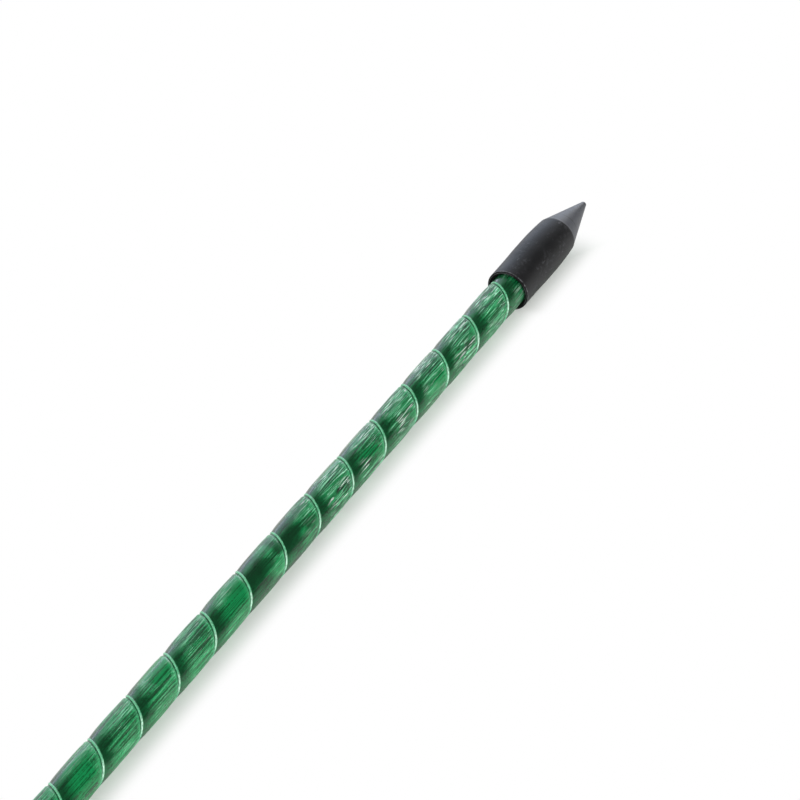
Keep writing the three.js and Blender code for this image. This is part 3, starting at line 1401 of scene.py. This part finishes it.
@dataclass
class PushOnCap(ABC):
    """What the two caps share: a round sleeve with a socket that grips the rod's end.

    Distances along a cap are from its mouth, and go the way that the cap points.
    """

    PIECE: ClassVar[str]
    NODE: ClassVar[str]
    BODY: ClassVar[Body]
    SLOT: ClassVar[Slot]

    # Where the socket's wall has rings, as shares of its depth
    WALL_RINGS: ClassVar[Sequence[float]] = (0.75, 0.5, 0.25)

    axis: WoundAxis
    mouth: float
    sleeve_radius: float
    towards: float
    socket_depth: float
    mould_line: float
    socket_radius: float = 4.2 * MM
    socket_corner: float = 0.4 * MM
    mouth_thinner: float = 0.10 * MM
    mouth_band: float = 6.0 * MM
    flare_end: float = 12.0 * MM
    rim_round: float = 0.22 * MM
    lead_in: float = 0.50 * MM
    lead_in_depth: float = 1.0 * MM
    segments: int = 96
    ring_gap: float = 0.6 * MM
    corner_steps: int = 4
    rim_steps: int = 5

    @abstractmethod
    def outline(self) -> np.ndarray:
        """The whole outline, from the socket's closed end to the middle of the cap's far end."""

    @staticmethod
    def arc(centre: Span, radii: Span, turn: Span, steps: int) -> np.ndarray:
        """Points on a quarter of an ellipse.

        Args:
            centre: Its middle, as a distance along the cap and a radius.
            radii: Its half-sizes along the cap and across it.
            turn: The angles at which it starts and ends, from the way that the cap points.
            steps: How many steps it has.

        Returns:
            The points, as distances along the cap and radii.
        """
        angles = np.linspace(*turn, steps + 1)
        directions = np.stack([np.cos(angles), np.sin(angles)], axis=-1)
        return np.array(centre) + np.array(radii) * directions

    def socket_and_rim(self) -> np.ndarray:
        """The outline from the socket's closed end, out of the mouth and over its rim.

        Returns:
            Distances along the cap and radii.
        """
        depth, radius, corner = self.socket_depth, self.socket_radius, self.socket_corner
        floor = [(depth, 0.0), (depth, radius / 2)]
        bend_middle = (depth - corner, radius - corner)
        bend = self.arc(bend_middle, (corner, corner), (0, QUARTER), self.corner_steps)
        wall = [(share * depth, radius) for share in self.WALL_RINGS]
        lip = [(self.lead_in_depth, radius), (0.0, radius + self.lead_in)]
        rim_middle = self.sleeve_radius - self.mouth_thinner - self.rim_round
        rim = self.arc(
            (self.rim_round, rim_middle),
            (self.rim_round, self.rim_round),
            (2 * QUARTER, QUARTER),
            self.rim_steps,
        )
        return np.concatenate([floor, bend, wall, lip, rim])

    def flare(self, end: float) -> np.ndarray:
        """The outer wall of the sleeve, which is a little thinner at its mouth.

        Args:
            end: Where the sleeve's full band ends.

        Returns:
            Distances along the cap and radii.
        """
        count = int((end - self.rim_round) / self.ring_gap)
        along = np.linspace(self.rim_round, end, count)[1:]
        share = np.clip((along - self.mouth_band) / (self.flare_end - self.mouth_band), 0, 1)
        radius = self.sleeve_radius - self.mouth_thinner * (1 - eased(share))
        return np.stack([along, radius], axis=-1)

    def build(self, material: bpy.types.Material) -> bpy.types.Object:
        """Builds the cap by turning its outline about the stake's axis.

        Args:
            material: Its finish.

        Returns:
            The cap, riding on its own body.
        """
        outline = self.outline()
        x = self.mouth + self.towards * outline[:, 0]
        angle = TURN * np.arange(self.segments) / self.segments
        ring_x, ring_angle = np.meshgrid(x[1:-1], angle, indexing="ij")
        grid = self.axis.place(ring_x, ring_angle, outline[1:-1, 1:])
        ends = self.axis.place(x[[0, -1]], np.zeros(2), np.zeros(2))
        points = np.concatenate([grid.reshape(-1, 3), ends])
        number = np.arange(grid.shape[0] * self.segments).reshape(-1, self.segments)
        first, last = len(points) - 2, len(points) - 1
        faces = ring_walls(number)
        faces += [(b, a, first) for a, b in zip(number[0], np.roll(number[0], -1))]
        faces += [(a, b, last) for a, b in zip(number[-1], np.roll(number[-1], -1))]
        piece = mesh_object(self.PIECE, points, faces, material)
        shape = bmesh.new()
        shape.from_mesh(piece.data)
        bmesh.ops.recalc_face_normals(shape, faces=shape.faces)
        shape.to_mesh(piece.data)
        shape.free()
        return fit_to_frame(piece, self.BODY, self.NODE)


@dataclass
class GroundPoint(PushOnCap):
    """The point that goes into the soil: a sleeve that narrows to a mould line, and a conical nose."""

    PIECE = "moulded_point"
    NODE = "ground_point"
    BODY = Body.POINT
    SLOT = Slot.POINT

    towards: float = 1.0
    socket_depth: float = 21.5 * MM
    mould_line: float = 24.2 * MM
    length: float = 38.8 * MM
    taper: float = 9.0 * MM
    taper_drop: float = 0.42 * MM
    line_width: float = 0.12 * MM
    nose_step: float = 0.06 * MM
    tip_radius: float = 0.74 * MM
    tip_length: float = 0.6 * MM
    taper_steps: int = 15
    cone_rings: int = 24
    tip_steps: int = 8

    def outline(self) -> np.ndarray:
        """The whole outline, from the socket's closed end to the tip.

        Returns:
            Distances along the cap and radii.
        """
        band_end = self.mould_line - self.taper
        share = np.linspace(0, 1, self.taper_steps + 1)[1:]
        taper_radius = self.sleeve_radius - self.taper_drop * share**2
        narrowing = np.stack([band_end + share * self.taper, taper_radius], axis=-1)
        nose_radius = self.sleeve_radius - self.taper_drop - self.nose_step
        nose_start = self.mould_line + self.line_width
        cone_end = self.length - self.tip_length
        along = np.linspace(nose_start, cone_end, self.cone_rings)
        slope = (nose_radius - self.tip_radius) / (cone_end - nose_start)
        cone = np.stack([along, nose_radius - slope * (along - nose_start)], axis=-1)
        tip = self.arc(
            (cone_end, 0.0), (self.tip_length, self.tip_radius), (QUARTER, 0), self.tip_steps
        )
        return np.concatenate([self.socket_and_rim(), self.flare(band_end), narrowing, cone, tip[1:]])


@dataclass
class TopCap(PushOnCap):
    """The cap on the other end: a sleeve with a flat closed end and a rounded edge.

    Its mould line lies past its end, so that all of it is as matt as a sleeve.
    """

    PIECE = "moulded_cap"
    NODE = "top_cap"
    BODY = Body.CAP
    SLOT = Slot.CAP

    # Where the flat end has rings, as shares of the sleeve's radius
    FLAT_RINGS = (0.5, 0.2, 0.0)

    towards: float = -1.0
    socket_depth: float = 17.5 * MM
    mould_line: float = 40.0 * MM
    length: float = 20.0 * MM
    edge_round: float = 1.1 * MM
    edge_steps: int = 8

    def outline(self) -> np.ndarray:
        """The whole outline, from the socket's closed end to the middle of the flat end.

        Returns:
            Distances along the cap and radii.
        """
        edge_start = self.length - self.edge_round
        edge = self.arc(
            (edge_start, self.sleeve_radius - self.edge_round),
            (self.edge_round, self.edge_round),
            (QUARTER, 0),
            self.edge_steps,
        )
        flat = [(self.length, share * self.sleeve_radius) for share in self.FLAT_RINGS]
        return np.concatenate([self.socket_and_rim(), self.flare(edge_start), edge[1:], flat])


@dataclass(frozen=True)
class SoftLamp:
    """A wide, far lamp: the direction that it stands in, its strength and how wide it looks."""

    name: str
    direction: Direction
    strength: float
    width_degrees: float

    def build(self) -> bpy.types.Object:
        """Hangs the lamp.

        Returns:
            The lamp.
        """
        data = bpy.data.lights.new(self.name, "SUN")
        data.energy = self.strength
        data.angle = math.radians(self.width_degrees)
        lamp = bpy.data.objects.new(self.name, data)
        lamp.rotation_mode = "QUATERNION"
        lamp.rotation_quaternion = Vector(self.direction).to_track_quat("Z", "Y")
        bpy.context.scene.collection.objects.link(lamp)
        return lamp


@dataclass(frozen=True)
class WhiteFloor:
    """The floor, which looks white and keeps the stake's shadow."""

    point_mouth: float
    size: float = 12.0
    # A green tint, a stand-in for green light through the rod, that shows in the stake's shadow
    colour: Colour = (0.875, 0.950, 0.860)

    # How white it looks beside the stake, and how far from the stake's line it clears to white
    white_share: float = 0.24
    clear_between: Span = (1.6 * MM, 8.4 * MM)
    mirror_between: Span = (4.2 * MM, 8.8 * MM)
    sleeve_blend: float = 4.0 * MM
    sleeve_wider: float = 1.1 * MM

    # Where it clears along the stake, as distances past the stake's end
    end_between: Span = (-16.0 * MM, -3.0 * MM)

    def whiteness(self, sheet: ShaderSheet) -> Signal:
        """How much white a ray sees, by its kind and by its place on the floor.

        Args:
            sheet: The sheet of the floor's material.

        Returns:
            The share of white.
        """
        path = sheet.node("ShaderNodeLightPath")
        kinds = ("Is Camera Ray", "Is Glossy Ray", "Is Transmission Ray")
        seen, glossy, through = (Signal(sheet, path.outputs[kind]) for kind in kinds)
        x, y, _ = sheet.parts(sheet.value("ShaderNodeNewGeometry", output="Position"))
        along = x.absolute()
        half_stake = CAD_BOX[1].x
        by_sleeve = along.rise(self.point_mouth, self.point_mouth + self.sleeve_blend)
        from_rod = y.absolute() - by_sleeve * self.sleeve_wider
        end_start, end_clear = self.end_between
        past_end = along.rise(half_stake + end_start, half_stake + end_clear)
        clear = from_rod.rise(*self.clear_between).at_least(past_end)
        mirrored = from_rod.rise(*self.mirror_between).at_least(past_end)
        white_seen = seen * (self.white_share + (1 - self.white_share) * clear)
        return white_seen.at_least(glossy.at_least(through) * mirrored)

    def material(self) -> bpy.types.Material:
        """Makes the material: a matt floor under a plain white.

        Returns:
            The material.
        """
        material, sheet = new_material("white_floor")
        matt = sheet.value("ShaderNodeBsdfDiffuse", {}, {"Color": opaque(self.colour)})
        white = sheet.value("ShaderNodeEmission", {}, {"Color": opaque(WHITE), "Strength": 1.0})
        inputs = {0: self.whiteness(sheet), 1: matt, 2: white}
        sheet.finish(sheet.node("ShaderNodeMixShader", {}, inputs))
        return material

    def build(self) -> bpy.types.Object:
        """Lays the floor.

        Returns:
            The floor.
        """
        half = self.size / 2
        corners = np.array([(-half, -half, 0), (half, -half, 0), (half, half, 0), (-half, half, 0)])
        floor = mesh_object("floor", corners, [(0, 1, 2, 3)], self.material())
        return floor


@dataclass(frozen=True)
class StudioSky:
    """The sky: white along the horizon, dim above, and bright in patches that the stake mirrors.

    Levels are strengths. Spans are parts of a direction: ahead along +X, aside along +Y, or up.
    """

    # The dim sky, far ahead of the point and near over the rod, and brighter low down
    far: float = 0.15
    near: float = 0.4
    near_ahead: Span = (0.15, -0.35)
    low_front: float = 1.2
    low_back: float = 1.4
    low_up: Span = (0.70, 0.45)
    front_aside: Span = (0.4, -0.5)

    # A bright card low in front of the stake
    card: float = 6.0
    card_ahead: Span = (0.30, 0.08)
    card_aside: Span = (-0.70, -0.90)
    card_up: Span = (0.48, 0.30)

    # The bright side behind the point, by the cosine of the angle from its middle, and a strip low in it
    bright: float = 1.7
    bright_side: Direction = (0.68, 0.69, 0.20)
    bright_tint: Colour = (0.81, 0.91, 1.10)
    bright_fade: Span = (0.74, 0.99)
    strip: float = 4.4
    strip_fade: Span = (0.74, 0.92)
    strip_up: Span = (0.22, 0.04)

    # A bright patch low past the point's tip
    past_tip: float = 3.8
    past_tip_ahead: Span = (0.76, 0.88)
    past_tip_aside: Span = (-0.15, 0.25)
    past_tip_up: Span = (0.60, 0.35)

    # White along the horizon
    horizon: float = 1.0
    horizon_up: Span = (0.14, 0.08)

    def level(self, parts: Sequence[Signal], facing: Signal, glow: Signal) -> Signal:
        """How bright the sky is.

        Args:
            parts: The direction's parts ahead, aside and up.
            facing: The cosine of its angle from the middle of the bright side.
            glow: How far it lies in the bright side.

        Returns:
            The strength.
        """
        ahead, aside, up = parts
        low = self.low_back + (self.low_front - self.low_back) * aside.rise(*self.front_aside)
        near = self.near + (low - self.near) * up.rise(*self.low_up)
        level = self.far + (near - self.far) * ahead.rise(*self.near_ahead)
        card = aside.rise(*self.card_aside) * up.rise(*self.card_up) * ahead.rise(*self.card_ahead)
        level = level + (self.card - level) * card
        level = level + (self.bright - self.far) * glow
        strip = facing.rise(*self.strip_fade) * up.rise(*self.strip_up)
        level = level + (self.strip - self.bright) * strip
        past_tip = ahead.rise(*self.past_tip_ahead) * aside.rise(*self.past_tip_aside)
        past_tip = past_tip * up.rise(*self.past_tip_up)
        level = level.at_least(self.past_tip * past_tip)
        return level.at_least(self.horizon * up.rise(*self.horizon_up))

    def build(self) -> None:
        """Makes it the scene's world."""
        world = bpy.data.worlds.new("studio_sky")
        world.use_nodes = True
        bpy.context.scene.world = world
        sheet = ShaderSheet(world.node_tree)
        direction = sheet.value("ShaderNodeTexCoord", output="Generated")
        side = tuple(Vector(self.bright_side).normalized())
        facing = sheet.value(
            "ShaderNodeVectorMath", {"operation": "DOT_PRODUCT"}, {0: direction, 1: side}, "Value"
        )
        glow = facing.rise(*self.bright_fade)
        colour = sheet.mixed(glow, WHITE, self.bright_tint)
        level = self.level(sheet.parts(direction), facing, glow)
        sky = sheet.node("ShaderNodeBackground", {}, {"Color": colour, "Strength": level})
        sheet.finish(sky, "ShaderNodeOutputWorld")


@dataclass(frozen=True)
class PhotoCamera:
    """The camera at the photograph's angle, aimed beside the rod, a little before the ground point."""

    places: StakeFrame
    aim_before_mouth: float = 46.51 * MM
    aim_aside: float = 2.27 * MM
    azimuth: float = math.radians(-60.743)
    elevation: float = math.radians(39.468)
    distance: float = 825.0 * MM
    nearest: float = 10.0 * MM
    lens_mm: float = 167.4

    def build(self) -> bpy.types.Object:
        """Makes it the scene's camera.

        Returns:
            The camera.
        """
        data = bpy.data.cameras.new("photo_camera")
        data.lens = self.lens_mm
        data.clip_start = self.nearest
        camera = bpy.data.objects.new("photo_camera", data)
        aim_x = self.places.point_mouth - self.aim_before_mouth
        target = Vector((aim_x, self.aim_aside, self.places.axis_height))
        level = math.cos(self.elevation)
        back_x, back_y = math.sin(self.azimuth) * level, -math.cos(self.azimuth) * level
        back = Vector((back_x, back_y, math.sin(self.elevation)))
        camera.location = target + back * self.distance
        camera.rotation_mode = "QUATERNION"
        camera.rotation_quaternion = (-back).to_track_quat("-Z", "Y")
        bpy.context.scene.collection.objects.link(camera)
        bpy.context.scene.camera = camera
        return camera


@dataclass(frozen=True)
class Studio:
    """A white floor under soft light from above, with a bright sky behind the stake."""

    places: StakeFrame

    LAMPS = (
        SoftLamp("key_lamp", (-0.25, 0.55, 0.80), 1.4, 50.0),
        SoftLamp("fill_lamp", (-0.65, -0.52, 0.55), 0.7, 24.0),
    )

    def build(self) -> None:
        """Sets up the camera, the floor, the sky and the lamps."""
        bpy.context.scene.view_settings.view_transform = "Standard"
        PhotoCamera(self.places).build()
        WhiteFloor(self.places.point_mouth).build()
        StudioSky().build()
        for lamp in self.LAMPS:
            lamp.build()


def main() -> None:
    """Builds the studio and the pieces in order, and reports each piece."""
    logging.basicConfig(level=logging.INFO, format="%(name)s: %(message)s")
    places = StakeFrame.measured()
    axis = places.axis()
    Studio(places).build()

    bare = (places.cap_mouth, places.point_mouth)
    rod = WoundRod(axis, places.rod_start, places.rod_end, bare)
    thread = WindingThread(axis, places.rod_start, places.rod_end)
    point = GroundPoint(axis, places.point_mouth, places.axis_height)
    cap = TopCap(axis, places.cap_mouth, places.axis_height)
    pieces = [
        rod.build(ResinFinish(places.point_mouth).material(axis)),
        thread.build(ThreadFinish().material(axis)),
        point.build(MouldedFinish(point).material()),
        cap.build(MouldedFinish(cap).material()),
    ]
    for piece in pieces:
        LOG.info("%s: %d faces", piece.name, len(piece.data.polygons))


if __name__ == "__main__":
    main()
